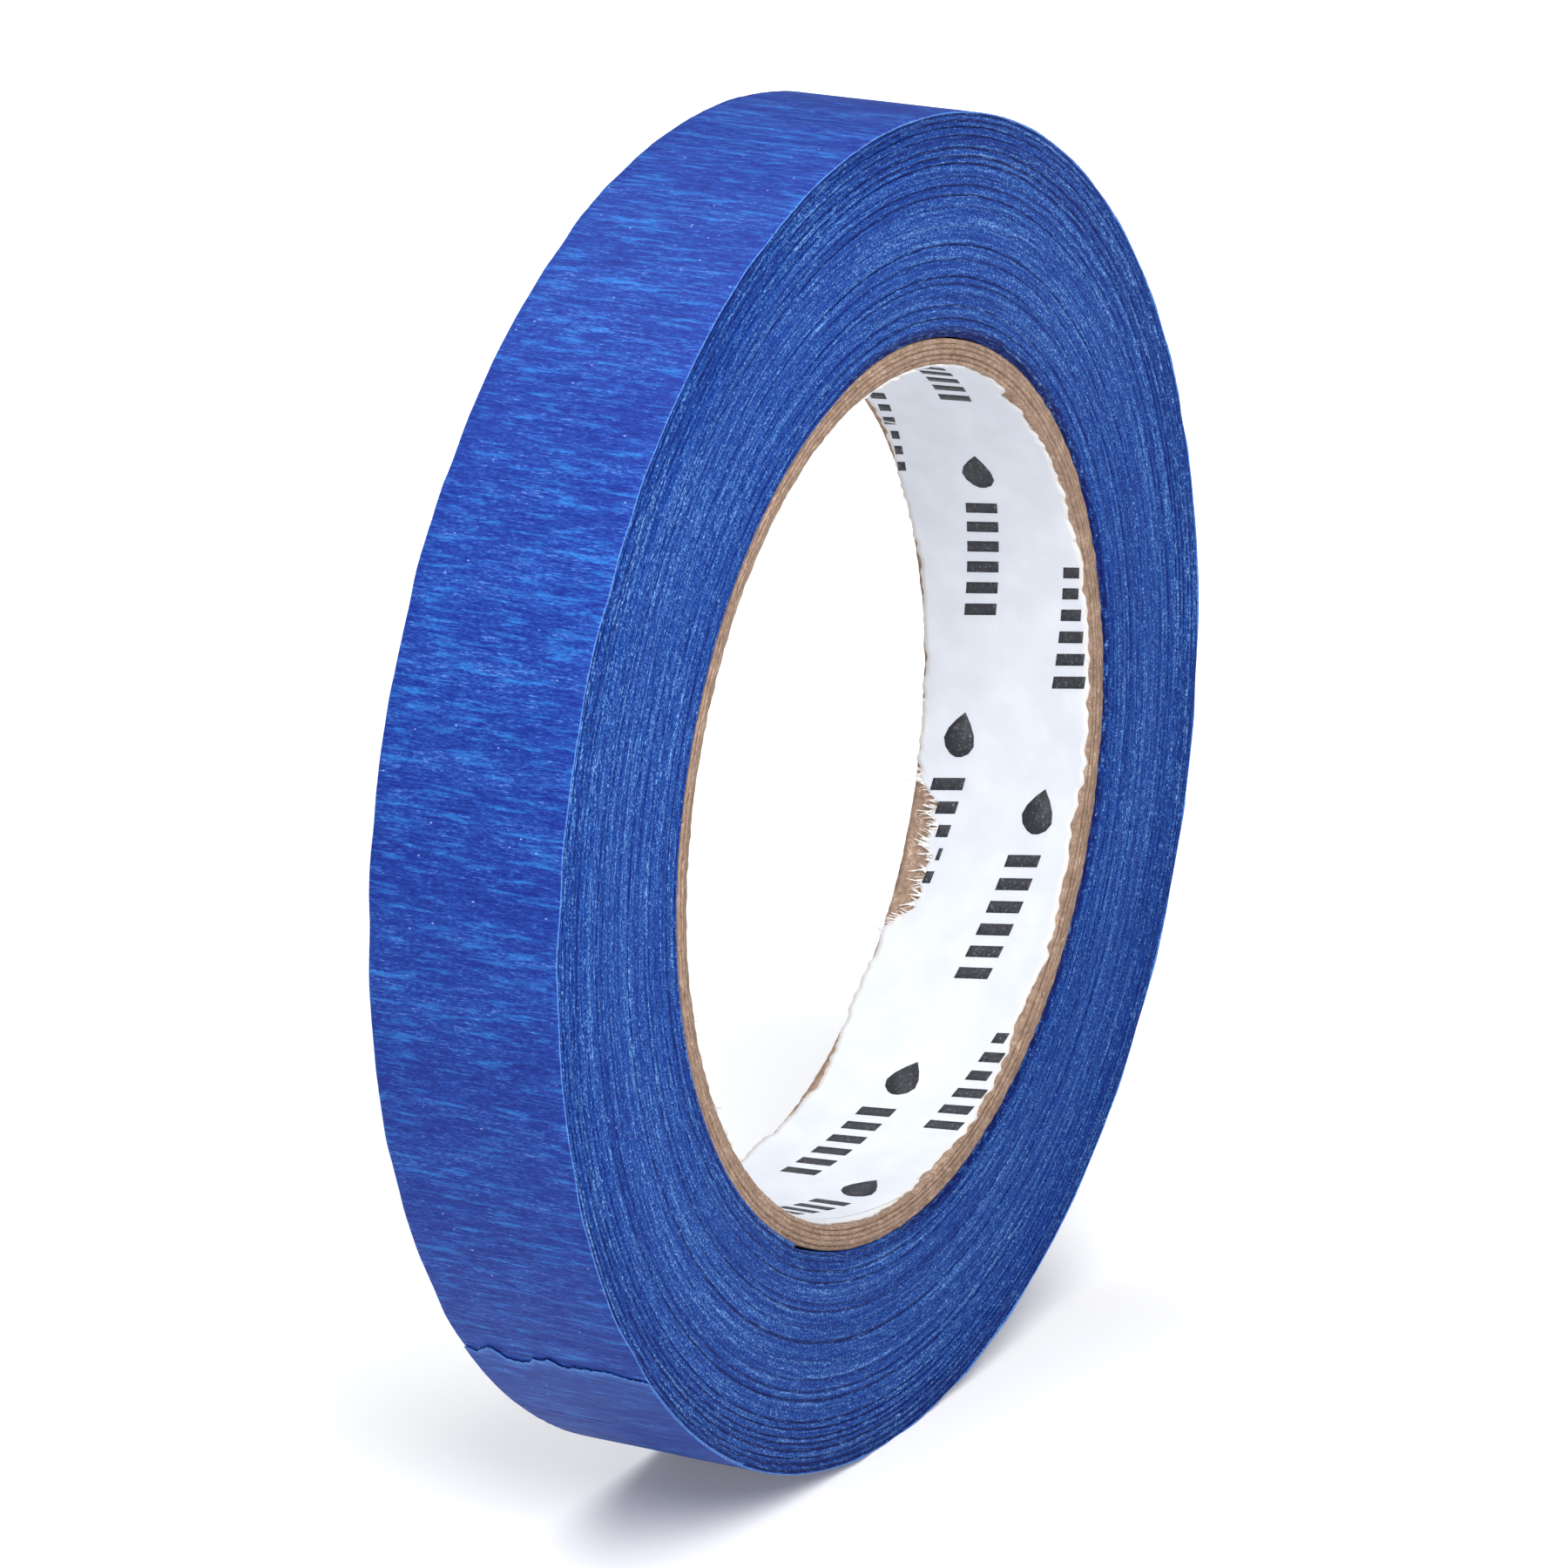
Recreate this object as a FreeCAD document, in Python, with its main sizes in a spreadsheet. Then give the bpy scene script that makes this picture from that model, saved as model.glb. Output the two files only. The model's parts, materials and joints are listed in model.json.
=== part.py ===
import FreeCAD, Part
import Sketcher
import math
import os

# A roll of crepe-paper masking tape on a spiral-wound paperboard core, standing on its rim.
# Frame: millimetres, +Z up, origin at the middle of the core's bore, roll axis along Y.
# The roll's front face looks along -Y. Angles run from +X towards +Z.
#
# The core is six plies glued one inside the other: a white paper liner and five plies of
# chipboard. Each ply is one strip wound on a helix, so its two edges meet in a slanted butt
# seam. The tape is one strip, wound from the core outwards. Its free end is a piece of its
# own, because it lifts off the roll about the peel line.

os.makedirs("parts", exist_ok=True)

DIMENSIONS = [
    ("roll_diameter", 121.0, "outside of the full roll"),
    ("tape_width", 18.0, "width of the tape, which is the length of the roll"),
    ("backing_thickness", 0.097, "crepe paper"),
    ("adhesive_thickness", 0.030, "adhesive film under the paper"),
    ("bore_diameter", 76.2, "three-inch core"),
    ("core_length", 17.8, "the core sits a little inside both faces of the tape"),
    ("liner_thickness", 0.20, "white printed paper ply"),
    ("liner_length", 17.0, "the liner is trimmed short of both rims"),
    ("ply_thickness", 0.44, "one chipboard ply"),
    ("seam_slope", 9.0, "degrees between a ply's seam and the rim"),
    ("seam_gap", 0.15, "opening left in a ply's butt seam"),
    ("end_angle", 220.5, "degrees to the tape's torn free end"),
    ("end_length", 12.0, "free end, from its torn edge to the peel line"),
    ("end_lift", 0.05, "air under and behind the free end"),
    ("start_angle", 241.0, "degrees to the start of the tape, on the core"),
    ("start_gap_height", 0.40, "gap beside the start of the tape"),
    ("start_gap_length", 7.0, "length of that gap round the core"),
    ("standing_height", 60.42, "axis above the slight flat that the roll stands on"),
]
CHIPBOARD_PLIES = 5
FIRST_SEAM_ANGLE = 274.0    # degrees to the liner's seam, where it leaves the front rim
SEAM_STAGGER = 137.0    # degrees from one ply's seam to the next
SEAM_OVERRUN = 2.0    # how far the cut of a seam runs past both rims
FLAT_HALF_ANGLE = 5.0    # degrees either side of the lowest point, past the ends of the flat

# Wraps whose edges lie below the faces: wraps in from the outside, number of wraps, depth.
RECESSED_WRAPS = [
    (5, 1, 0.12),
    (9, 1, 0.18),
    (14, 2, 0.22),
    (20, 1, 0.15),
    (27, 1, 0.20),
    (38, 1, 0.12),
    (56, 1, 0.10),
    (83, 1, 0.12),
    (110, 1, 0.10),
    (139, 2, 0.15),
    (148, 1, 0.12),
]

doc = FreeCAD.newDocument("masking_tape_roll")
sheet = doc.addObject("Spreadsheet::Sheet", "Sizes")
for row, (alias, value, meaning) in enumerate(DIMENSIONS, start=1):
    sheet.set(f"A{row}", alias)
    sheet.set(f"B{row}", str(value))
    sheet.set(f"C{row}", meaning)
    sheet.setAlias(f"B{row}", alias)
doc.recompute()

ORIGIN = FreeCAD.Vector(0, 0, 0)
ROLL_AXIS = FreeCAD.Vector(0, 1, 0)
SKETCH_NORMAL = FreeCAD.Vector(0, 0, 1)
TAPE_THICKNESS = "(Sizes.backing_thickness + Sizes.adhesive_thickness)"


def size(alias):
    return float(sheet.get(alias))


roll_radius = size("roll_diameter") / 2
tape_thickness = size("backing_thickness") + size("adhesive_thickness")
bore_radius = size("bore_diameter") / 2
core_radius = bore_radius + size("liner_thickness") + CHIPBOARD_PLIES * size("ply_thickness")
CORE_RADIUS = (
    "(Sizes.bore_diameter / 2 + Sizes.liner_thickness"
    f" + {CHIPBOARD_PLIES} * Sizes.ply_thickness)"
)


def new_body(name, angle_formula):
    """Body turned about the roll's axis, so that its own X axis points at the angle."""
    body = doc.addObject("PartDesign::Body", name)
    body.Label = name
    body.Placement = FreeCAD.Placement(ORIGIN, FreeCAD.Rotation(ROLL_AXIS, 0))
    body.setExpression("Placement.Rotation.Angle", f"-({angle_formula}) * 1 deg")
    return body


def sketch_on(body, role, name):
    """Sketch on one of the body's own origin planes."""
    sketch = body.newObject("Sketcher::SketchObject", name)
    plane = next(f for f in body.Origin.OriginFeatures if f.Role == role)
    sketch.AttachmentSupport = [(plane, "")]
    sketch.MapMode = "FlatFace"
    sketch.Visibility = False
    return sketch


def bind(sketch, constraint, name, formula):
    """Adds a dimension to the sketch and drives it from the sheet."""
    index = sketch.addConstraint(constraint)
    sketch.renameConstraint(index, name)
    sketch.setExpression(f"Constraints.{name}", formula)


def add_circle(sketch, radius, name, formula):
    """Circle round the roll's axis."""
    edge = sketch.addGeometry(Part.Circle(ORIGIN, SKETCH_NORMAL, radius), False)
    sketch.addConstraint(Sketcher.Constraint("Coincident", edge, 3, -1, 1))
    bind(sketch, Sketcher.Constraint("Radius", edge, radius), name, formula)


def add_arc(sketch, centre_x, radius, first, last):
    """Arc from first to last radians round a point on the horizontal axis."""
    circle = Part.Circle(FreeCAD.Vector(centre_x, 0, 0), SKETCH_NORMAL, radius)
    return sketch.addGeometry(Part.ArcOfCircle(circle, first, last), False)


def add_rectangle(sketch, name, left, bottom, width, height):
    """Rectangle from its left bottom corner. Each size is a number and its formula.

    left and bottom are measured along +X and +Y, and bottom may be negative.
    """
    x0, y0 = left[0], bottom[0]
    x1, y1 = x0 + width[0], y0 + height[0]
    corners = [(x0, y0), (x1, y0), (x1, y1), (x0, y1)]
    edges = []
    for (ax, ay), (bx, by) in zip(corners, corners[1:] + corners[:1]):
        line = Part.LineSegment(FreeCAD.Vector(ax, ay, 0), FreeCAD.Vector(bx, by, 0))
        edges.append(sketch.addGeometry(line, False))
    for edge, after in zip(edges, edges[1:] + edges[:1]):
        sketch.addConstraint(Sketcher.Constraint("Coincident", edge, 2, after, 1))
    for edge, direction in zip(edges, ("Horizontal", "Vertical") * 2):
        sketch.addConstraint(Sketcher.Constraint(direction, edge))
    bind(sketch, Sketcher.Constraint("DistanceX", -1, 1, edges[0], 1, x0), f"{name}_left",
         left[1])
    bind(sketch, Sketcher.Constraint("DistanceY", -1, 1, edges[0], 1, y0), f"{name}_bottom",
         bottom[1])
    bind(sketch, Sketcher.Constraint("DistanceX", edges[0], 1, edges[0], 2, width[0]),
         f"{name}_width", width[1])
    bind(sketch, Sketcher.Constraint("DistanceY", edges[1], 1, edges[1], 2, height[0]),
         f"{name}_height", height[1])


def pad_across(body, sketch, name, length_formula):
    """Pads a sketch to both sides of the roll's middle plane."""
    pad = body.newObject("PartDesign::Pad", name)
    pad.Profile = sketch
    pad.SideType = "Symmetric"
    pad.setExpression("Length", length_formula)
    body.Tip = pad
    doc.recompute()


def check_cut(body, volume_before):
    doc.recompute()
    if not body.Shape.Volume < volume_before - 1e-6:
        raise RuntimeError(f"{body.Label}: the last feature cuts nothing")


# ---- the core: liner and chipboard plies -------------------------------------------------

def core_ply(name, inner, thickness, length, seam_angle):
    """One ply: a tube whose edges meet in a seam that runs on a helix.

    inner, thickness and length are a number and its formula.
    """
    body = new_body(name, f"{seam_angle}")
    rings = sketch_on(body, "XZ_Plane", f"{name}_rings")
    add_circle(rings, inner[0], "inner", inner[1])
    add_circle(rings, inner[0] + thickness[0], "outer", f"{inner[1]} + {thickness[1]}")
    pad_across(body, rings, f"{name}_tube", length[1])

    slit = sketch_on(body, "XY_Plane", f"{name}_slit")
    low = -length[0] / 2 - SEAM_OVERRUN
    margin = thickness[0] / 4
    add_rectangle(
        slit,
        "slit",
        (inner[0] - margin, f"{inner[1]} - {thickness[1]} / 4"),
        (low, f"-{length[1]} / 2 - {SEAM_OVERRUN}"),
        (thickness[0] * 1.5, f"{thickness[1]} * 1.5"),
        (size("seam_gap"), "Sizes.seam_gap"),
    )
    doc.recompute()
    whole = body.Shape.Volume
    seam = body.newObject("PartDesign::SubtractiveHelix", f"{name}_seam")
    seam.Profile = slit
    seam.ReferenceAxis = (slit, ["V_Axis"])
    seam.Mode = "pitch-height-angle"
    seam.setExpression("Pitch", "pi * Sizes.bore_diameter * tan(Sizes.seam_slope * 1 deg)")
    seam.setExpression("Height", f"{length[1]} + 2 * {SEAM_OVERRUN}")
    body.Tip = seam
    check_cut(body, whole)
    return body


def core_bodies():
    liner = core_ply(
        "core_liner",
        (bore_radius, "Sizes.bore_diameter / 2"),
        (size("liner_thickness"), "Sizes.liner_thickness"),
        (size("liner_length"), "Sizes.liner_length"),
        FIRST_SEAM_ANGLE,
    )
    plies = [liner]
    for index in range(CHIPBOARD_PLIES):
        inner = bore_radius + size("liner_thickness") + index * size("ply_thickness")
        formula = (
            f"Sizes.bore_diameter / 2 + Sizes.liner_thickness + {index} * Sizes.ply_thickness"
        )
        plies.append(core_ply(
            f"core_ply_{index + 1}",
            (inner, formula),
            (size("ply_thickness"), "Sizes.ply_thickness"),
            (size("core_length"), "Sizes.core_length"),
            (FIRST_SEAM_ANGLE + (index + 1) * SEAM_STAGGER) % 360,
        ))
    return plies


# ---- the wound tape ----------------------------------------------------------------------
# One wrap rises by a tape's thickness. Its two half turns are arcs whose centres lie a
# quarter of a thickness either side of the roll's axis, on the line to the torn end. That
# line is the horizontal axis of these sketches, and their angles start from it.

OUTER_ARC = f"Sizes.roll_diameter / 2 - {TAPE_THICKNESS} / 4"
outer_arc = roll_radius - tape_thickness / 4
peel_turn = size("end_length") / roll_radius
PEEL_TURN = "Sizes.end_length / (Sizes.roll_diameter / 2)"


def point_at(centre_x, radius, turn):
    return FreeCAD.Vector(centre_x + radius * math.cos(turn), radius * math.sin(turn), 0)


def radial_line(sketch, centre_x, radii, turn):
    """Line between two radii on one ray from a point on the horizontal axis."""
    ends = [point_at(centre_x, radius, turn) for radius in radii]
    return sketch.addGeometry(Part.LineSegment(*ends), False)


def wound_tape():
    """All the tape on the core, with a step at the peel line that the free end fills."""
    body = new_body("tape_winding", "Sizes.end_angle")
    outline = sketch_on(body, "XZ_Plane", "tape_winding_outline")
    quarter = tape_thickness / 4
    under_end = outer_arc - tape_thickness
    under = add_arc(outline, quarter, under_end, 0, peel_turn)
    upper = add_arc(outline, quarter, outer_arc, peel_turn, math.pi)
    lower = add_arc(outline, -quarter, outer_arc - tape_thickness / 2, math.pi, 2 * math.pi)
    ledge = radial_line(outline, quarter, (under_end, outer_arc), peel_turn)
    for first, first_end, second, second_end in (
        (under, 3, upper, 3),
        (under, 2, ledge, 1),
        (ledge, 2, upper, 1),
        (upper, 2, lower, 1),
        (lower, 2, under, 1),
    ):
        outline.addConstraint(
            Sketcher.Constraint("Coincident", first, first_end, second, second_end)
        )
    for edge, point in ((under, 1), (under, 3), (upper, 2), (lower, 3)):
        outline.addConstraint(Sketcher.Constraint("PointOnObject", edge, point, -1))
    outline.addConstraint(Sketcher.Constraint("PointOnObject", under, 3, ledge))
    bind(outline, Sketcher.Constraint("DistanceX", -1, 1, under, 3, quarter), "centre",
         f"{TAPE_THICKNESS} / 4")
    bind(outline, Sketcher.Constraint("Radius", under, under_end), "under",
         f"{OUTER_ARC} - {TAPE_THICKNESS}")
    bind(outline, Sketcher.Constraint("Radius", upper, outer_arc), "upper", OUTER_ARC)
    bind(outline, Sketcher.Constraint("Angle", ledge, peel_turn), "peel_line",
         f"{PEEL_TURN} * 1 rad")
    add_circle(outline, core_radius, "core", CORE_RADIUS)
    pad_across(body, outline, "tape_winding_wraps", "Sizes.tape_width")
    recess_wraps(body)
    cut_start_gap(body)
    cut_standing_flat(body)
    return body


def recess_wraps(body):
    """Rings sunk into both faces, where single wraps lie below their neighbours."""
    rings = sketch_on(body, "XY_Plane", "tape_winding_recesses")
    overrun = 0.5
    half = size("tape_width") / 2
    for wraps_in, count, depth in RECESSED_WRAPS:
        left = (
            roll_radius - (wraps_in + count) * tape_thickness,
            f"Sizes.roll_diameter / 2 - {wraps_in + count} * {TAPE_THICKNESS}",
        )
        width = (count * tape_thickness, f"{count} * {TAPE_THICKNESS}")
        height = (depth + overrun, f"{depth} + {overrun}")
        back = (half - depth, f"Sizes.tape_width / 2 - {depth}")
        front = (-half - overrun, f"-Sizes.tape_width / 2 - {overrun}")
        add_rectangle(rings, f"back_{wraps_in}", left, back, width, height)
        add_rectangle(rings, f"front_{wraps_in}", left, front, width, height)
    doc.recompute()
    whole = body.Shape.Volume
    groove = body.newObject("PartDesign::Groove", "tape_winding_recessed_wraps")
    groove.Profile = rings
    groove.ReferenceAxis = (rings, ["V_Axis"])
    groove.Angle = 360
    body.Tip = groove
    check_cut(body, whole)


def cut_polygon(body, name, corners):
    """Cuts a polygon right through the roll.

    corners are (radius, its formula, degrees, their formula), round the roll's axis.
    """
    outline = sketch_on(body, "XZ_Plane", f"{name}_outline")
    points = [point_at(0, radius, math.radians(turn)) for radius, _, turn, _ in corners]
    edges = [
        outline.addGeometry(Part.LineSegment(start, end), False)
        for start, end in zip(points, points[1:] + points[:1])
    ]
    for edge, after in zip(edges, edges[1:] + edges[:1]):
        outline.addConstraint(Sketcher.Constraint("Coincident", edge, 2, after, 1))
    for number, (edge, point, corner) in enumerate(zip(edges, points, corners), start=1):
        _, radius, _, turn = corner
        bind(outline, Sketcher.Constraint("DistanceX", -1, 1, edge, 1, point.x),
             f"corner_{number}_x", f"({radius}) * cos(({turn}) * 1 deg)")
        bind(outline, Sketcher.Constraint("DistanceY", -1, 1, edge, 1, point.y),
             f"corner_{number}_y", f"({radius}) * sin(({turn}) * 1 deg)")
    doc.recompute()
    whole = body.Shape.Volume
    pocket = body.newObject("PartDesign::Pocket", name)
    pocket.Profile = outline
    pocket.Type = "ThroughAll"
    pocket.Midplane = True
    body.Tip = pocket
    check_cut(body, whole)


def cut_start_gap(body):
    """Wedge of air beside the start of the tape, where the second wrap climbs over it."""
    first = size("start_angle") - size("end_angle")
    last = first + math.degrees(size("start_gap_length") / core_radius)
    first_turn = "Sizes.start_angle - Sizes.end_angle"
    last_turn = f"{first_turn} + Sizes.start_gap_length / {CORE_RADIUS} * 180 / pi"
    top = core_radius + size("start_gap_height")
    cut_polygon(body, "tape_winding_start_gap", (
        (core_radius, CORE_RADIUS, first, first_turn),
        (top, f"{CORE_RADIUS} + Sizes.start_gap_height", first, first_turn),
        (core_radius, CORE_RADIUS, last, last_turn),
    ))


def cut_standing_flat(body):
    """Shallow flat under the roll: the wraps give a little where the roll stands."""
    down = 270 - size("end_angle")
    left = (down - FLAT_HALF_ANGLE, f"270 - Sizes.end_angle - {FLAT_HALF_ANGLE}")
    right = (down + FLAT_HALF_ANGLE, f"270 - Sizes.end_angle + {FLAT_HALF_ANGLE}")
    near = size("standing_height") / math.cos(math.radians(FLAT_HALF_ANGLE))
    near_formula = f"Sizes.standing_height / cos({FLAT_HALF_ANGLE} * 1 deg)"
    cut_polygon(body, "tape_winding_standing_flat", (
        (near, near_formula, *left),
        (near + 1, f"{near_formula} + 1", *left),
        (near + 1, f"{near_formula} + 1", *right),
        (near, near_formula, *right),
    ))


def free_end_layer(name, top, thickness):
    """One layer of the free end: from its torn edge to just short of the peel line.

    top and thickness are a number and its formula; top is the layer's outer radius.
    """
    body = new_body(name, "Sizes.end_angle")
    outline = sketch_on(body, "XZ_Plane", f"{name}_outline")
    quarter = tape_thickness / 4
    turn = (size("end_length") - size("end_lift")) / roll_radius
    bottom = top[0] - thickness[0]
    outer = add_arc(outline, quarter, top[0], 0, turn)
    inner = add_arc(outline, quarter, bottom, 0, turn)
    outline.addConstraint(Sketcher.Constraint("Coincident", outer, 3, inner, 3))
    for edge, point in ((outer, 1), (inner, 1), (inner, 3)):
        outline.addConstraint(Sketcher.Constraint("PointOnObject", edge, point, -1))
    root = radial_line(outline, quarter, (bottom, top[0]), turn)
    torn = radial_line(outline, quarter, (bottom, top[0]), 0)
    outline.addConstraint(Sketcher.Constraint("PointOnObject", inner, 3, root))
    for line, arc_end in ((root, 2), (torn, 1)):
        outline.addConstraint(Sketcher.Constraint("Coincident", line, 1, inner, arc_end))
        outline.addConstraint(Sketcher.Constraint("Coincident", line, 2, outer, arc_end))
    bind(outline, Sketcher.Constraint("DistanceX", -1, 1, inner, 3, quarter), "centre",
         f"{TAPE_THICKNESS} / 4")
    bind(outline, Sketcher.Constraint("Radius", outer, top[0]), "top", top[1])
    bind(outline, Sketcher.Constraint("Radius", inner, bottom), "bottom",
         f"{top[1]} - {thickness[1]}")
    bind(outline, Sketcher.Constraint("Angle", root, turn), "peel_line",
         "(Sizes.end_length - Sizes.end_lift) / (Sizes.roll_diameter / 2) * 1 rad")
    pad_across(body, outline, f"{name}_strip", "Sizes.tape_width")
    return body


def free_end():
    """The crepe paper of the free end, and the adhesive under it."""
    paper_top = (outer_arc + size("end_lift"), f"{OUTER_ARC} + Sizes.end_lift")
    glue_top = (
        paper_top[0] - size("backing_thickness"),
        f"{paper_top[1]} - Sizes.backing_thickness",
    )
    paper = (size("backing_thickness"), "Sizes.backing_thickness")
    glue = (size("adhesive_thickness"), "Sizes.adhesive_thickness")
    return [
        free_end_layer("tape_end_paper", paper_top, paper),
        free_end_layer("tape_end_adhesive", glue_top, glue),
    ]


# ---- build, check and write --------------------------------------------------------------

sub_parts = core_bodies() + [wound_tape()] + free_end()
doc.recompute()

for item in doc.Objects:
    if "Invalid" in item.State or "Error" in item.State:
        raise RuntimeError(f"{item.Label} failed: {item.State}")
for body in sub_parts:
    if body.Shape.isNull() or not body.Shape.isValid():
        raise RuntimeError(f"{body.Label} has no valid shape")
    if len(body.Shape.Solids) != 1:
        raise RuntimeError(f"{body.Label} has {len(body.Shape.Solids)} solids")

for body in sub_parts:
    body.Shape.exportStep(f"parts/{body.Label}.step")
    print(f"{body.Label}: {body.Shape.Volume:.1f} mm3")

peel_angle = math.radians(size("end_angle"))
root_turn = (size("end_length") - size("end_lift")) / roll_radius
hinge_radius = outer_arc + size("end_lift")
hinge_x = tape_thickness / 4 * math.cos(peel_angle)
hinge_z = tape_thickness / 4 * math.sin(peel_angle)
hinge_x += hinge_radius * math.cos(peel_angle + root_turn)
hinge_z += hinge_radius * math.sin(peel_angle + root_turn)
print(f"peel line at x {hinge_x:.4f}, z {hinge_z:.4f}")
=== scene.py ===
import json
import math

import bmesh
import bpy
import numpy as np
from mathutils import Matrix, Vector


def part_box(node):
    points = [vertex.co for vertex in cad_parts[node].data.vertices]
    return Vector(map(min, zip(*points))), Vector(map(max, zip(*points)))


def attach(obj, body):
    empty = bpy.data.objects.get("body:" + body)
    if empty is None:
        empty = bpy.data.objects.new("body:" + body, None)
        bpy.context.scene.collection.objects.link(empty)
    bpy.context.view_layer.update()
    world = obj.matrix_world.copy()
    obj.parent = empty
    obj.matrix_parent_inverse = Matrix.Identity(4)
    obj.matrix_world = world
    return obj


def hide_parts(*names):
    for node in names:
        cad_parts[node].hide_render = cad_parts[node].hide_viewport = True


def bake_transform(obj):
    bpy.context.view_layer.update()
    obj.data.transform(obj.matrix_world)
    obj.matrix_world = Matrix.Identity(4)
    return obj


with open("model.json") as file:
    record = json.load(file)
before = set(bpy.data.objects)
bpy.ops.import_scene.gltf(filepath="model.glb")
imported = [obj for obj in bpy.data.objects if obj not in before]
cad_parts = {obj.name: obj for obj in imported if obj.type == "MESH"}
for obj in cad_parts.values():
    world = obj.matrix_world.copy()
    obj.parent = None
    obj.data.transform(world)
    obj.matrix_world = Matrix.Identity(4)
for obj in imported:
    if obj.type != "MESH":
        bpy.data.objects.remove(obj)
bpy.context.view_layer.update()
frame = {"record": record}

# A full roll of blue crepe masking tape on its paperboard core. Lengths are in millimetres
# until a mesh is made, angles run from +X towards +Z, and the roll's axis is Y.

MM = 0.001
TURN = 2 * math.pi
WHITE = (1.0, 1.0, 1.0, 1.0)


# ---- sizes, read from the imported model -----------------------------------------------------

def outer_radius(node):
    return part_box(node)[1].x / MM


def half_length(node):
    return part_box(node)[1].y / MM


CHIPBOARD_PLIES = 5
TORN_END = math.radians(220.5)    # angle of the tape's torn free end
PEEL_TURN = math.radians(11.36)    # from the torn end to the peel line
START_TURN = math.radians(20.5)    # from the torn end to the start of the tape on the core
WHOLE_WRAPS = 156
SEAM_SLOPE = math.tan(math.radians(9))
SEAM_STAGGER = math.radians(137)
LINER_SEAM = math.radians(274)    # the liner's seam, where it leaves the front rim
SEAM_GAP = 0.15
GLUE_GAP = 0.005    # between the core and the first wrap
PAPER_SHARE = 0.097 / 0.127    # of the tape's thickness; the rest is adhesive
WELD_DISTANCE = 0.0002

mounts = {mount["name"]: mount for mount in frame["record"]["mounts"]}
bore_radius = mounts["core_bore"]["dims"]["r_mm"]
liner_radius = outer_radius("core_liner")
core_radius = outer_radius(f"core_ply_{CHIPBOARD_PLIES}") + GLUE_GAP
ply_thickness = (core_radius - liner_radius) / CHIPBOARD_PLIES
half_width = half_length("tape_winding")
standing_height = -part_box("tape_winding")[0].z / MM
ROW_TURN = bore_radius * SEAM_SLOPE    # a seam's rise along the axis, for each radian
top_turn = math.radians(90) - TORN_END + TURN
tape_turns = WHOLE_WRAPS + 1 + START_TURN / TURN
top_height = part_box("tape_winding")[1].z / MM
tape_thickness = (top_height - core_radius) / (tape_turns - top_turn / TURN)
roll_radius = top_height + tape_thickness * top_turn / TURN


# ---- materials -----------------------------------------------------------------------------

def tone(red, green, blue):
    """Linear colour of a tone given in the usual 0 to 255 steps."""
    parts = [value / 255 for value in (red, green, blue)]
    linear = [c / 12.92 if c <= 0.04045 else ((c + 0.055) / 1.055) ** 2.4 for c in parts]
    return (*linear, 1.0)


TYPICAL_RADIUS = 50


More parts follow.
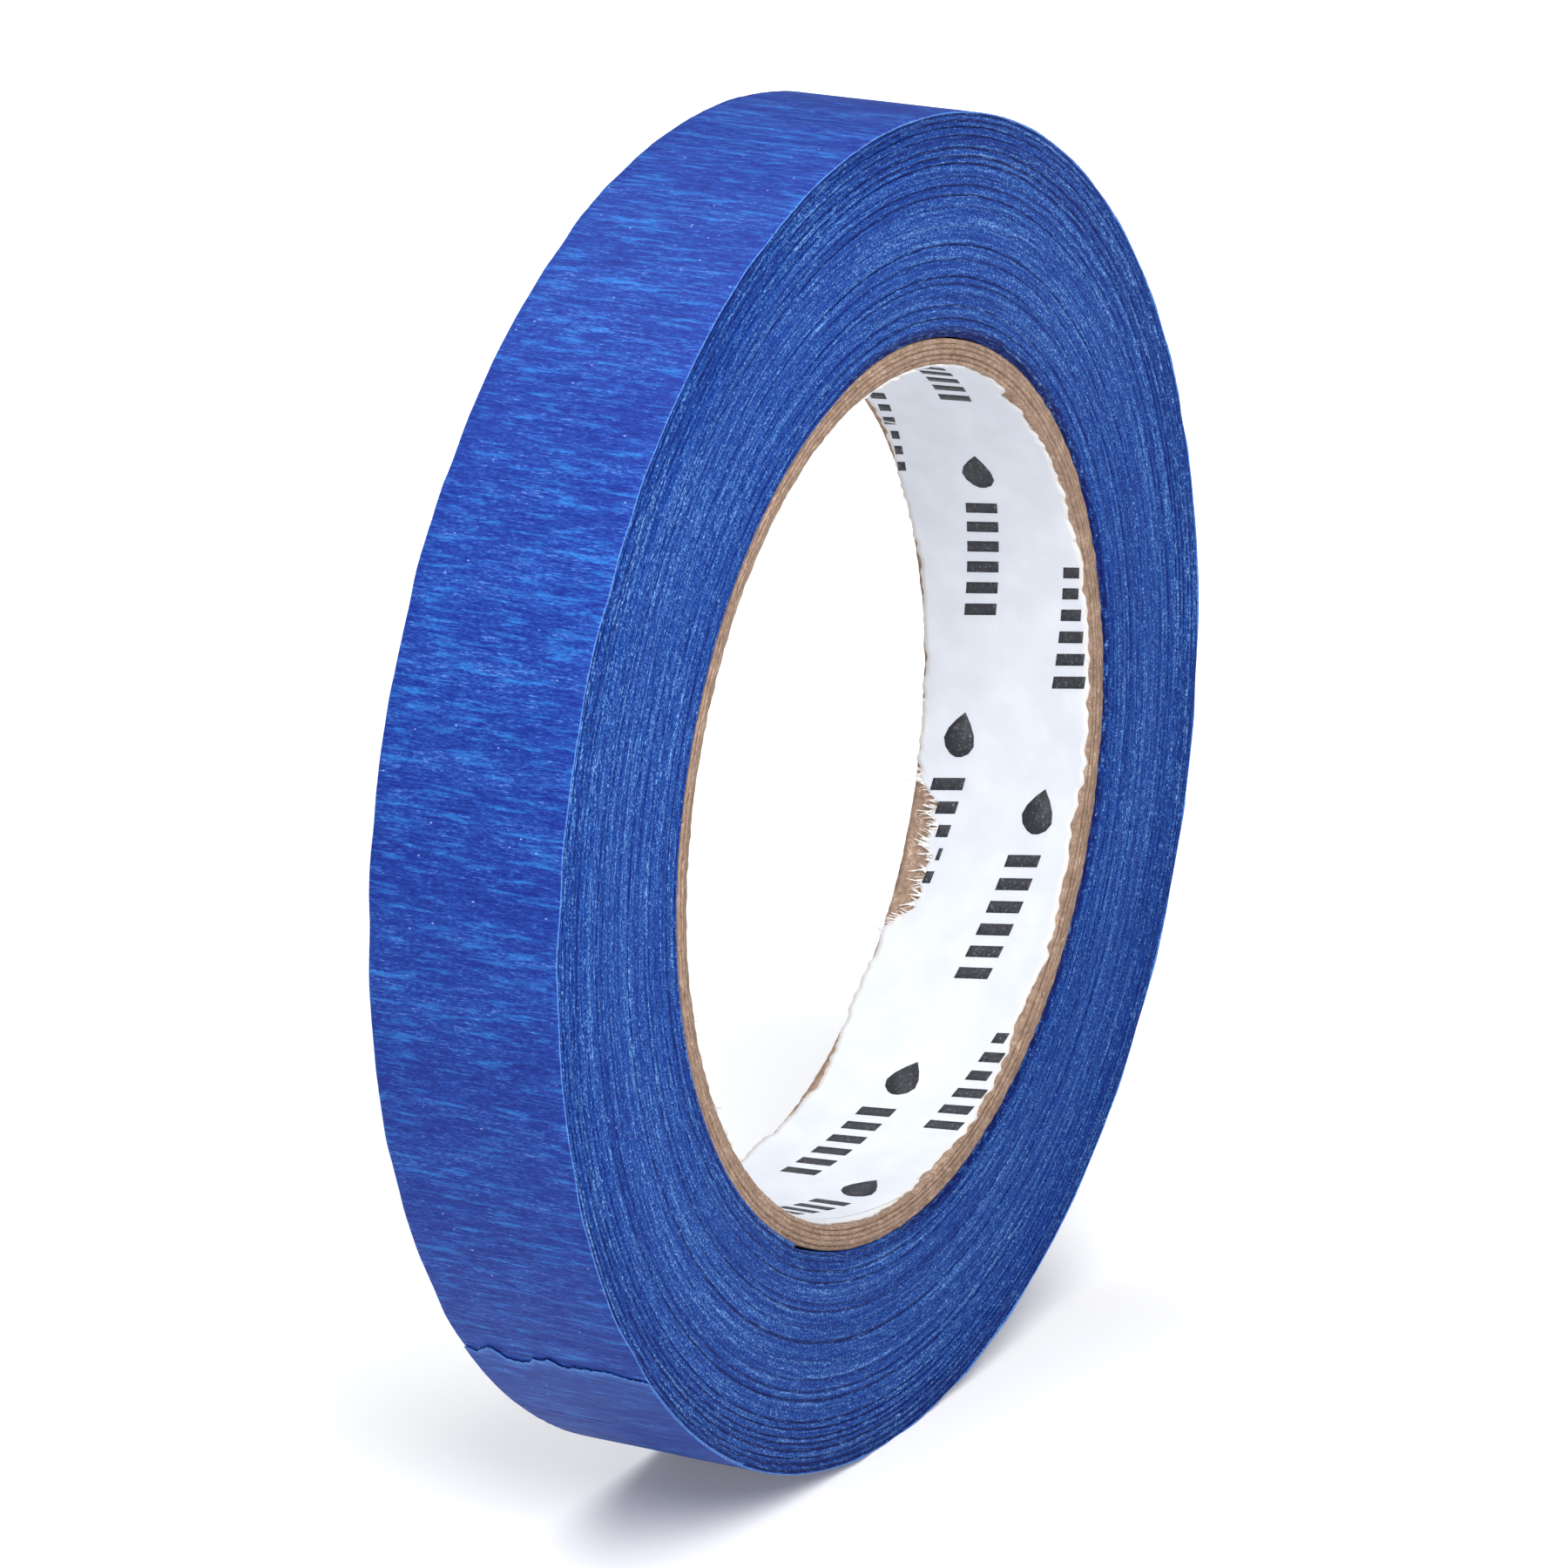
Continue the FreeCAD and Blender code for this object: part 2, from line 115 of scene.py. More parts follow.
class Finish:
    """A procedural material, put together from small steps."""

    def __init__(self, name, roughness, specular):
        self.material = bpy.data.materials.new(name)
        self.material.use_nodes = True
        self.tree = self.material.node_tree
        self.shader = self.tree.nodes["Principled BSDF"]
        self.shader.inputs["Roughness"].default_value = roughness
        self.shader.inputs["Specular IOR Level"].default_value = specular
        self.position = self.tree.nodes.new("ShaderNodeTexCoord").outputs["Object"]

    def feed(self, socket, value):
        if isinstance(value, bpy.types.NodeSocket):
            self.tree.links.new(value, socket)
        else:
            socket.default_value = value

    def calc(self, operation, *values):
        node = self.tree.nodes.new("ShaderNodeMath")
        node.operation = operation
        for socket, value in zip(node.inputs, values):
            self.feed(socket, value)
        return node.outputs[0]

    def vector(self, operation, *values):
        node = self.tree.nodes.new("ShaderNodeVectorMath")
        node.operation = operation
        for socket, value in zip(node.inputs, values):
            self.feed(socket, value)
        return node.outputs["Value" if operation == "LENGTH" else "Vector"]

    def grain(self, x, y, z):
        """Coordinates in which one unit is a grain of these sizes, in millimetres."""
        return self.vector("MULTIPLY", self.position, (1 / x / MM, 1 / y / MM, 1 / z / MM))

    def round_grain(self, radial, around, across):
        """The same for grain that follows circles round the roll's axis.

        The size around is right at a typical radius of the roll.
        """
        flat = self.vector("MULTIPLY", self.position, (1, 0, 1))
        outward = self.vector("NORMALIZE", flat)
        wide = self.vector("MULTIPLY", outward, (TYPICAL_RADIUS / around, 0, TYPICAL_RADIUS / around))
        place = self.tree.nodes.new("ShaderNodeSeparateXYZ")
        self.feed(place.inputs[0], self.position)
        depth = self.calc("MULTIPLY", place.outputs["Y"], 1 / across / MM)
        radius = self.vector("LENGTH", flat)
        ring = self.tree.nodes.new("ShaderNodeCombineXYZ")
        self.feed(ring.inputs["Y"], self.calc("MULTIPLY_ADD", radius, 1 / radial / MM, depth))
        return self.vector("ADD", wide, ring.outputs[0])

    def noise(self, coordinates, detail=2.0, roughness=0.5):
        node = self.tree.nodes.new("ShaderNodeTexNoise")
        node.inputs["Scale"].default_value = 1.0
        node.inputs["Detail"].default_value = detail
        node.inputs["Roughness"].default_value = roughness
        self.feed(node.inputs["Vector"], coordinates)
        return node.outputs["Fac"]

    def specks(self, coordinates, share):
        """1 in small dots at some of the cells, else 0."""
        node = self.tree.nodes.new("ShaderNodeTexVoronoi")
        node.inputs["Scale"].default_value = 1.0
        self.feed(node.inputs["Vector"], coordinates)
        near = self.calc("LESS_THAN", node.outputs["Distance"], 0.3)
        chosen = self.tree.nodes.new("ShaderNodeSeparateColor")
        self.feed(chosen.inputs[0], node.outputs["Color"])
        return self.calc("MULTIPLY", near, self.calc("LESS_THAN", chosen.outputs[0], share))

    def seam_line(self, half):
        """1 along the liner's slanted seam, else 0."""
        parts = self.tree.nodes.new("ShaderNodeSeparateXYZ")
        self.feed(parts.inputs[0], self.position)
        x, y, z = parts.outputs
        angle = self.calc("ARCTAN2", z, x)
        rise = self.calc("MULTIPLY_ADD", angle, ROW_TURN * MM, y)
        start = (ROW_TURN * LINER_SEAM - half_length("core_liner")) * MM
        lead = TURN * ROW_TURN * MM
        away = self.calc("SUBTRACT", rise, start)
        away = self.calc("WRAP", away, lead / 2, -lead / 2)
        return self.calc("LESS_THAN", self.calc("ABSOLUTE", away), half * MM)

    def attribute(self, name):
        node = self.tree.nodes.new("ShaderNodeAttribute")
        node.attribute_name = name
        return node.outputs["Fac"]

    def span(self, value, low, high):
        """value taken from low..high to 0..1."""
        node = self.tree.nodes.new("ShaderNodeMapRange")
        for socket, number in zip(node.inputs, (value, low, high, 0.0, 1.0)):
            self.feed(socket, number)
        return node.outputs["Result"]

    def ramp(self, value, *stops):
        node = self.tree.nodes.new("ShaderNodeValToRGB")
        elements = node.color_ramp.elements
        while len(elements) < len(stops):
            elements.new(0.5)
        for element, (place, colour) in zip(elements, stops):
            element.position = place
            element.color = colour
        self.feed(node.inputs["Fac"], value)
        return node.outputs["Color"]

    def mix(self, share, first, second):
        node = self.tree.nodes.new("ShaderNodeMix")
        node.data_type = "RGBA"
        self.feed(node.inputs[0], share)
        self.feed(node.inputs[6], first)
        self.feed(node.inputs[7], second)
        return node.outputs[2]

    def colour(self, value):
        self.feed(self.shader.inputs["Base Color"], value)

    def roughness(self, value):
        self.feed(self.shader.inputs["Roughness"], value)

    def relief(self, height, depth, strength=1.0):
        """Bump of a depth in millimetres."""
        node = self.tree.nodes.new("ShaderNodeBump")
        node.inputs["Strength"].default_value = strength
        node.inputs["Distance"].default_value = depth * MM
        self.feed(node.inputs["Height"], height)
        self.feed(self.shader.inputs["Normal"], node.outputs["Normal"])


def tape_finish():
    """Blue crepe paper: light streaks across the tape, with fine bright fibres and lint."""
    finish = Finish("blue_crepe_paper", 0.5, 0.1)
    patches = finish.noise(finish.grain(0.46, 4.2, 0.46), 4.0, 0.6)
    streaks = finish.noise(finish.grain(0.22, 1.9, 0.22), 3.0, 0.65)
    fibres = finish.noise(finish.grain(0.11, 0.5, 0.11), 3.0, 0.7)
    # Raised crepe and creases are coloured lighter: partly the paper's own streaks, partly a painted
    # highlight on the ridges.
    crepe = finish.attribute("crepe")
    level = finish.calc("MULTIPLY", streaks, 0.42)
    level = finish.calc("MULTIPLY_ADD", fibres, 0.58, level)
    level = finish.calc("MULTIPLY_ADD", crepe, 0.016, level)
    ground = finish.ramp(
        level,
        (0.36, tone(14, 30, 108)),
        (0.47, tone(20, 44, 124)),
        (0.57, tone(32, 66, 146)),
        (0.68, tone(80, 122, 188)),
    )
    patch = finish.calc("MULTIPLY_ADD", crepe, 0.016, patches)
    patch = finish.calc("MULTIPLY", finish.span(patch, 0.53, 0.68), finish.span(fibres, 0.2, 0.6))
    colour = finish.mix(finish.calc("MULTIPLY", patch, 0.9), ground, tone(42, 108, 184))
    colour = finish.mix(finish.calc("MULTIPLY", finish.attribute("lifted"), 0.10), colour,
                        tone(78, 112, 166))
    lint = finish.specks(finish.grain(0.22, 0.4, 0.22), 0.004)
    colour = finish.mix(finish.calc("MULTIPLY", lint, 0.6), colour, tone(150, 178, 222))
    # Along the tape's slit edges and torn edge: pale fibres, and a painted highlight where the edges
    # catch the light.
    edge = finish.calc("MULTIPLY", finish.attribute("edge"), finish.span(streaks, 0.25, 0.6))
    finish.colour(finish.mix(edge, colour, tone(88, 138, 212)))
    finish.roughness(finish.span(fibres, -0.3, 1.2))
    finish.relief(finish.calc("ADD", streaks, fibres), 0.045, 0.9)
    return finish.material


def edges_finish():
    """The slit edges of the wraps: fine grit and dashes, with painted shade in the recesses."""
    finish = Finish("blue_tape_edges", 0.6, 0.1)
    dashes = finish.noise(finish.round_grain(0.17, 1.5, 2.0), 3.0, 0.65)
    grit = finish.noise(finish.round_grain(0.17, 0.22, 0.5), 3.0, 0.7)
    bands = finish.noise(finish.round_grain(0.38, 20.0, 9.0), 4.0, 0.7)
    rim_and_painted_recess_shade = finish.attribute("rim_and_painted_recess_shade")
    level = finish.calc("MULTIPLY", dashes, 0.20)
    level = finish.calc("MULTIPLY_ADD", grit, 0.52, level)
    level = finish.calc("MULTIPLY_ADD", bands, 0.28, level)
    colour = finish.ramp(
        level,
        (0.40, tone(2, 24, 96)),
        (0.46, tone(8, 46, 124)),
        (0.53, tone(20, 68, 146)),
        (0.63, tone(120, 168, 220)),
    )
    # Painted shade: the deeper a wrap's edge lies below the face, the darker it is, broken into
    # dashes.
    dashed_recess_shade = finish.calc("MULTIPLY", finish.span(rim_and_painted_recess_shade, 0.2, 0.9), finish.span(dashes, 0.72, 0.45))
    colour = finish.mix(dashed_recess_shade, colour, tone(3, 16, 78))
    lint = finish.specks(finish.round_grain(0.16, 0.4, 3.0), 0.02)
    finish.colour(finish.mix(finish.calc("MULTIPLY", lint, 0.5), colour, tone(140, 174, 222)))
    finish.relief(finish.calc("ADD", dashes, bands), 0.12, 1.0)
    return finish.material


def board_finish():
    """Recycled chipboard: brown, fibrous, with pale and dark flecks."""
    finish = Finish("brown_chipboard", 0.95, 0.15)
    fibres = finish.noise(finish.round_grain(0.20, 0.7, 0.5), 4.0, 0.75)
    clouds = finish.noise(finish.grain(1.4, 1.4, 1.4), 3.0)
    level = finish.calc("MULTIPLY_ADD", fibres, 0.7, finish.calc("MULTIPLY", clouds, 0.3))
    colour = finish.ramp(
        level,
        (0.36, tone(112, 92, 78)),
        (0.46, tone(136, 113, 98)),
        (0.55, tone(152, 128, 112)),
        (0.66, tone(190, 168, 150)),
    )
    pale = finish.specks(finish.grain(0.26, 0.26, 0.26), 0.05)
    colour = finish.mix(finish.calc("MULTIPLY", pale, 0.5), colour, tone(214, 200, 184))
    dark = finish.specks(finish.grain(0.4, 0.4, 0.4), 0.03)
    colour = finish.mix(finish.calc("MULTIPLY", dark, 0.5), colour, tone(70, 54, 44))
    rim_and_painted_recess_shade = finish.attribute("rim_and_painted_recess_shade")
    finish.colour(finish.mix(finish.calc("MULTIPLY", rim_and_painted_recess_shade, 0.12), colour, tone(84, 60, 48)))
    finish.relief(fibres, 0.07, 0.8)
    return finish.material


def liner_finish():
    """White machine-finished paper, faintly mottled and worn at its edges."""
    finish = Finish("white_liner_paper", 0.6, 0.2)
    mottle = finish.noise(finish.grain(3.4, 3.4, 3.4), 3.0, 0.5)
    fibres = finish.noise(finish.grain(0.16, 0.4, 0.16), 3.0, 0.6)
    colour = finish.ramp(
        mottle, (0.35, tone(190, 194, 203)), (0.55, tone(194, 198, 207)), (0.7, tone(198, 202, 209))
    )
    colour = finish.mix(finish.span(fibres, 0.30, 0.1), colour, tone(198, 200, 206))
    wear = finish.calc("MULTIPLY", finish.attribute("rim_and_painted_recess_shade"), finish.span(fibres, 0.3, 0.6))
    colour = finish.mix(wear, colour, tone(206, 196, 184))
    seam = finish.seam_line(0.10)
    finish.colour(finish.mix(finish.calc("MULTIPLY", seam, 0.6), colour, tone(150, 140, 130)))
    finish.relief(fibres, 0.012, 0.5)
    return finish.material


def ink_finish():
    """Black ink on paper, a little worn through."""
    finish = Finish("black_ink", 0.6, 0.3)
    wear = finish.noise(finish.grain(0.3, 0.3, 0.3), 4.0, 0.7)
    finish.colour(finish.ramp(
        wear, (0.35, tone(30, 31, 36)), (0.6, tone(52, 54, 60)), (0.78, tone(150, 152, 158))
    ))
    finish.relief(wear, 0.01, 0.4)
    return finish.material


def adhesive_finish():
    """Adhesive film on the back of the tape: paler and smoother than the paper."""
    finish = Finish("tape_adhesive", 0.35, 0.5)
    streaks = finish.noise(finish.grain(0.5, 4.0, 0.5), 3.0)
    finish.colour(finish.ramp(
        streaks, (0.35, tone(50, 96, 170)), (0.55, tone(70, 118, 188)), (0.7, tone(94, 142, 204))
    ))
    finish.relief(streaks, 0.03, 0.6)
    return finish.material


def fluff_finish():
    """Loose paper fibres."""
    finish = Finish("paper_fibres", 0.9, 0.2)
    shade = finish.noise(finish.grain(0.8, 0.8, 0.8), 2.0)
    finish.colour(finish.ramp(
        shade, (0.3, tone(176, 166, 156)), (0.5, tone(214, 210, 208)), (0.7, tone(240, 240, 244))
    ))
    return finish.material


def floor_finish():
    """A pale studio floor that glows, more with distance: painted light that turns it into a white
    surround.
    """
    finish = Finish("pale_floor", 0.8, 0.1)
    shade = finish.noise(finish.grain(40.0, 40.0, 40.0), 2.0)
    finish.colour(finish.ramp(shade, (0.3, tone(226, 227, 228)), (0.7, tone(229, 229, 230))))
    distance = finish.vector("LENGTH", finish.position)
    # Painted light: the floor emits light of its own, more the farther it lies from the roll.
    painted_floor_glow = finish.calc("MULTIPLY", finish.span(distance, -0.05, 0.6), 0.9)
    finish.shader.inputs["Emission Color"].default_value = WHITE
    finish.feed(finish.shader.inputs["Emission Strength"], painted_floor_glow)
    return finish.material


# ---- meshes --------------------------------------------------------------------------------

def round_points(angle, radius, across):
    """Points given by their angle, radius and place along the roll's axis."""
    parts = (radius * np.cos(angle), across, radius * np.sin(angle))
    return np.stack(np.broadcast_arrays(*parts), axis=-1)


def make_piece(name, points, faces, material, fields=None):
    """Closed mesh from points in millimetres; fields are numbers kept for its material."""
    mesh = bpy.data.meshes.new(name)
    mesh.from_pydata((points.reshape(-1, 3) * MM).tolist(), [], faces)
    for field, values in (fields or {}).items():
        layer = mesh.attributes.new(field, "FLOAT", "POINT")
        layer.data.foreach_set("value", np.asarray(values, np.float32).ravel())
    shape = bmesh.new()
    shape.from_mesh(mesh)
    bmesh.ops.remove_doubles(shape, verts=shape.verts, dist=WELD_DISTANCE * MM)
    bmesh.ops.recalc_face_normals(shape, faces=shape.faces)
    for face in shape.faces:
        face.smooth = True
    shape.to_mesh(mesh)
    shape.free()
    mesh.materials.append(material)
    piece = bpy.data.objects.new(name, mesh)
    bpy.context.collection.objects.link(piece)
    return piece


def end_faces(loop):
    """Zips up the end of a skin, whose loop is symmetric about its first point."""
    middle = len(loop) // 2
    faces = [[loop[0], loop[1], loop[-1]]]
    for i in range(1, middle - 1):
        faces.append([loop[i], loop[i + 1], loop[-i - 1], loop[-i]])
    faces.append([loop[middle - 1], loop[middle], loop[middle + 1]])
    return faces


def skin_faces(columns, loop, ends):
    """Faces of a tube of points: columns of loops, whose ends are joined, zipped or flat."""
    index = np.arange(columns * loop).reshape(columns, loop)
    after = np.roll(index, -1, axis=1)
    if ends == "joined":
        index, after = np.vstack([index, index[:1]]), np.vstack([after, after[:1]])
    faces = np.stack([index[:-1], after[:-1], after[1:], index[1:]], axis=-1)
    faces = faces.reshape(-1, 4).tolist()
    if ends == "zipped":
        faces += end_faces(index[0].tolist()) + end_faces(index[-1].tolist())
    if ends == "flat":
        faces += [index[0].tolist(), index[-1].tolist()]
    return faces


def smooth_field(random, shape, widths):
    """Smooth random numbers of unit spread, periodic, with widths in cells."""
    field = np.fft.fft2(random.standard_normal(shape))
    for axis, (count, width) in enumerate(zip(shape, widths)):
        rate = np.fft.fftfreq(count)
        fade = np.exp(-2 * (math.pi * rate * width) ** 2)
        field *= fade.reshape((-1, 1) if axis == 0 else (1, -1))
    field = np.fft.ifft2(field).real
    return field / field.std()


def ragged(random, count, width):
    return smooth_field(random, (count, 1), (width, 0))[:, 0]


def stand(points):
    """Keeps the tape above the floor, where the roll's weight flattens it a little."""
    points[..., 2] = np.maximum(points[..., 2], -standing_height)
    return points


def spiral_radius(turn):
    """Top of the tape, a turn after its torn end."""
    return roll_radius - tape_thickness * turn / TURN


# ---- the wound tape ------------------------------------------------------------------------

def crepe(random, columns, rows, column_width, row_width):
    """Relief of crepe paper, in units of its spread: fine creases across the tape."""
    relief = np.zeros((columns, rows))
    for share, around, across in ((0.55, 0.22, 1.6), (0.6, 0.4, 3.2), (0.45, 1.1, 6.0)):
        widths = (around / column_width, across / row_width)
        relief += share * smooth_field(random, (columns, rows), widths)
    return relief


def long_creases(random, count, around, across):
    """Bowed wrinkles that run part of the way across the tape."""
    relief = np.zeros(around.shape)
    length = around.max()
    for _ in range(count):
        place = random.uniform(4, length - 4)
        middle = random.uniform(-7, 7)
        reach = random.uniform(1.5, 5.0)
        bow = random.uniform(-0.03, 0.03)
        slant = random.uniform(-0.06, 0.06)
        offset = across - middle
        line = around - place - bow * offset ** 2 - slant * offset
        fade = np.exp(-(offset / reach) ** 4)
        relief += fade * np.exp(-(line / 0.22) ** 2)
    return relief


def outer_wrap(material):
    """The last turn of tape, from the peel line to just under its own start."""
    random = np.random.default_rng(11)
    columns, rows = 1760, 30
    turn = np.linspace(PEEL_TURN, TURN + START_TURN, columns)
    across = np.linspace(-half_width, half_width, rows)
    across[1], across[-2] = -half_width + 0.08, half_width - 0.08
    around, side = np.meshgrid(turn * roll_radius, across, indexing="ij")
    pitch = around[1, 0] - around[0, 0]
    relief = crepe(random, columns, rows, pitch, 2 * half_width / (rows - 1))
    creases = long_creases(random, 46, around, side)
    height = 0.012 * np.clip(relief, -2.5, 3) + 0.05 * creases
    height -= 0.03 * (np.abs(side) > half_width - 0.04)
    under_itself = np.clip((turn - TURN) / PEEL_TURN, 0, 1)[:, None]
    height = height * (1 - under_itself) - 0.01 * under_itself
    radius = spiral_radius(turn)[:, None]
    rim = 0.05 * ragged(random, columns, 6)[:, None] * (1 - under_itself)
    place = side + rim * (side / half_width) ** 5
    top = round_points(TORN_END + turn[:, None], radius + height, place)
    ends = np.stack([place[:, -1], place[:, 0]], axis=1)
    low = round_points(TORN_END + turn[:, None], radius - tape_thickness, ends)
    points = stand(np.concatenate([top, low], axis=1))
    # Marks the tape's edges, for their pale fibres and painted highlight.
    edge = np.zeros((columns, rows + 2))
    edge[:, [0, rows - 1, rows, rows + 1]] = 1
    # Height of the crepe and creases, which the material colours lighter, partly as a painted
    # highlight.
    crest = np.zeros((columns, rows + 2))
    crest[:, :rows] = relief + 3 * creases
    faces = skin_faces(columns, rows + 2, "flat")
    return make_piece("outer_wrap", points, faces, material, {"crepe": crest, "edge": edge})


# Wraps whose edges lie well below the face: turns in from the outside, and how deep.
RECESSED = [
    (2.5, 0.07), (6.4, 0.10), (10.8, 0.10), (16.6, 0.12), (20.9, 0.08), (25.2, 0.12),
    (31.1, 0.10), (35.8, 0.12), (44.0, 0.05), (50.7, 0.10), (57.3, 0.10), (65.5, 0.06),
    (78.2, 0.05), (91.6, 0.13), (101.9, 0.07), (113.7, 0.10), (118.8, 0.08), (127.1, 0.05),
    (133.9, 0.09), (142.4, 0.11), (148.7, 0.08), (153.6, 0.09),
]


def wrap_depth(waves, turns):
    """How far a wrap's edge lies below the face, by turns wound in from the outside."""
    outer = np.exp(-turns / 22)
    inner = np.exp((turns - WHOLE_WRAPS) / 14)
    strength = 0.010 + 0.030 * outer + 0.016 * inner
    depth = np.ones(turns.shape)
    for rate, phase in waves:
        depth += np.sin(TURN * rate * turns + phase) / 3
    depth *= strength
    for place, deep in RECESSED:
        depth += deep * np.exp(-((turns - place - 0.5) / 0.75) ** 4)
    return depth


def sway(random, angle, reach):
    """Wraps that bow in and out a little; reach is 0 at the core and 1 at the outside."""
    shift = np.zeros(angle.shape)
    for count in (2, 3, 5, 8, 13):
        phase = random.uniform(0, TURN)
        drift = random.uniform(-6, 6)
        shift += np.sin(count * angle + phase + drift * reach) / count
    return 0.10 * shift * np.sin(math.pi * np.clip(reach, 0, 1)) ** 0.7


def strips(first, second):
    """Quads between two rows of points."""
    return np.stack([first[:-1], first[1:], second[1:], second[:-1]], axis=-1).tolist()


LOOSE_SIDE = math.radians(8)    # the side where the wound tape stands off the core
LOOSE_GAP = 0.16    # the gap there
SUNK_DEPTH = 0.62    # there, the first wraps also lie below the face
SUNK_WRAPS = 5


def winding_half(name, side, seed, material):
    """Half of the wound tape, from its middle plane to one face, with every wrap's edge."""
    random = np.random.default_rng(seed)
    columns = 192
    samples = 2 * (WHOLE_WRAPS - 1)
    step = np.linspace(0, TURN, columns + 1)[:, None]
    turns = (START_TURN + step) / TURN + 1 + np.arange(samples + 1)[None, :] / 2
    inward = tape_turns - turns
    angle = np.repeat(TORN_END + START_TURN + step, samples + 1, axis=1)
    after_start = np.degrees(step)
    bump = 0.27 * np.clip(1 - after_start / 11, 0, 1) ** 1.3
    bump += 0.27 * np.clip(1 - (360 - after_start) / 5, 0, 1) ** 2
    bump = bump * np.where(inward < 1, inward, np.exp(-(inward - 1) / 14))
    slack = np.clip(np.cos(angle - LOOSE_SIDE) + 0.15, 0, 1) ** 0.6
    bump = bump + LOOSE_GAP * slack * np.exp(-inward / 12)
    sunk = SUNK_DEPTH * slack * np.exp(-(inward / SUNK_WRAPS) ** 3)
    radius = core_radius + tape_thickness * inward + bump
    radius += sway(random, angle, inward / inward.max())

    waves = [(random.uniform(0.16, 0.84), random.uniform(0, TURN)) for _ in range(9)]
    between = np.maximum(wrap_depth(waves, turns - 0.5), wrap_depth(waves, turns + 0.5))
    is_boundary = np.arange(samples + 1)[None, :] % 2 == 0
    depth = np.where(is_boundary, between + 0.018, wrap_depth(waves, turns)) + sunk
    front = round_points(angle, radius, side * (half_width - depth))
    rims = front[:, [0, samples]].copy()
    rims[..., 1] = 0
    points = stand(np.concatenate([front, rims], axis=1))

    index = np.arange((columns + 1) * (samples + 3)).reshape(columns + 1, samples + 3)
    lattice, outer, inner = index[:, :samples + 1], index[:, -2], index[:, -1]
    faces = []
    for row in range(samples):
        faces += strips(lattice[:, row], lattice[:, row + 1])
    faces += strips(lattice[:, 0], outer) + strips(lattice[:, samples], inner)
    floor = strips(outer, inner)
    floor[0].append(int(outer[-1]))
    floor[-1].insert(2, int(inner[0]))
    faces += floor
    faces.append([*lattice[0, :3].tolist(), int(outer[-1]), int(outer[0])])
    faces.append([*lattice[-1, samples - 2:].tolist(), int(inner[-1]), int(inner[0])])
    # How deep each wrap's edge lies below the face, kept as a mask for painted shade in the recesses.
    rim_and_painted_recess_shade = np.zeros(index.shape)
    rim_and_painted_recess_shade[:, :samples + 1] = np.clip((depth - 0.02) / 0.11, 0, 1)
    return make_piece(name, points, faces, material, {"rim_and_painted_recess_shade": rim_and_painted_recess_shade})


# ---- the free end --------------------------------------------------------------------------

BEND_LENGTH = 2.6    # tape past the peel line that would curl if the free end were lifted

# The torn edge: places across the tape, and how far the tear strays there.
TEAR_PLACES = [-9.0, -7.3, -6.0, -4.7, -3.5, -1.9, -0.4, 0.4, 2.2, 3.4, 5.0, 6.0, 8.0, 9.0]
TEAR_STRAYS = [0.3, 0.0, 0.0, -0.2, 0.0, -0.2, 0.3, -0.7, 0.1, 0.7, 0.7, -0.7, 0.3, 0.1]


def free_end_layer(name, top, bottom, set_back, seed, material):
    """One layer of the free end, from its torn edge to the peel line."""
    random = np.random.default_rng(seed)
    columns, rows = 64, 145
    across = np.linspace(-half_width, half_width, rows)
    tear = np.interp(across, TEAR_PLACES, TEAR_STRAYS)
    tear = tear + 0.09 * ragged(random, rows, 0.9) + 0.12 * ragged(random, rows, 4.0)
    tear = (tear + set_back) / roll_radius
    share = np.linspace(0, 1, columns)[:, None]
    turn = tear * (1 - share) + PEEL_TURN * share
    side = np.repeat(across[None, :], columns, axis=0)
    relief = crepe(random, columns, rows, PEEL_TURN * roll_radius / columns, 0.125)
    free = np.clip(1 - turn / PEEL_TURN, 0, 1)
    curl = 0.025 * free ** 0.5 + 0.035 * free ** 6
    curl += 0.015 * free ** 2 * np.sin(side * 1.3 + 0.6)
    height = 0.010 * np.clip(relief, -2.5, 3) * free ** 0.3 + curl
    radius = spiral_radius(turn) + height
    upper = round_points(TORN_END + turn, radius - top, side)
    lower = round_points(TORN_END + turn, radius - bottom, side)
    middle = (upper + lower) / 2
    points = np.concatenate([
        middle[:, :1] - [0, 0.02, 0], upper, middle[:, -1:] + [0, 0.02, 0], lower[:, ::-1],
    ], axis=1)
    loop = 2 * rows + 2
    # Height of the crepe, which the material colours lighter, partly as a painted highlight.
    crest = np.zeros((columns, loop))
    crest[:, 1:rows + 1] = relief
    crest[:, rows + 2:] = relief[:, ::-1]
    # Marks the edges and a band along the tear, for their pale fibres and painted highlight.
    edge = np.zeros((columns, loop))
    edge[:, [0, rows + 1]] = 1
    edge[:, 1:rows + 1] = np.maximum(edge[:, 1:rows + 1], np.exp(-((turn - tear) * 60 / 0.45)))
    lifted = np.repeat(free.max(axis=1, keepdims=True) ** 0.4, loop, axis=1)
    faces = skin_faces(columns, loop, "zipped")
    fields = {"crepe": crest, "edge": edge, "lifted": lifted}
    piece = make_piece(name, points, faces, material, fields)
    bend_start, bend_end = (
        (round_points(TORN_END + place, roll_radius, 0.0) * MM).tolist()
        for place in (PEEL_TURN, PEEL_TURN - BEND_LENGTH / roll_radius)
    )
    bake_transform(piece)
    return piece


# ---- the core ------------------------------------------------------------------------------

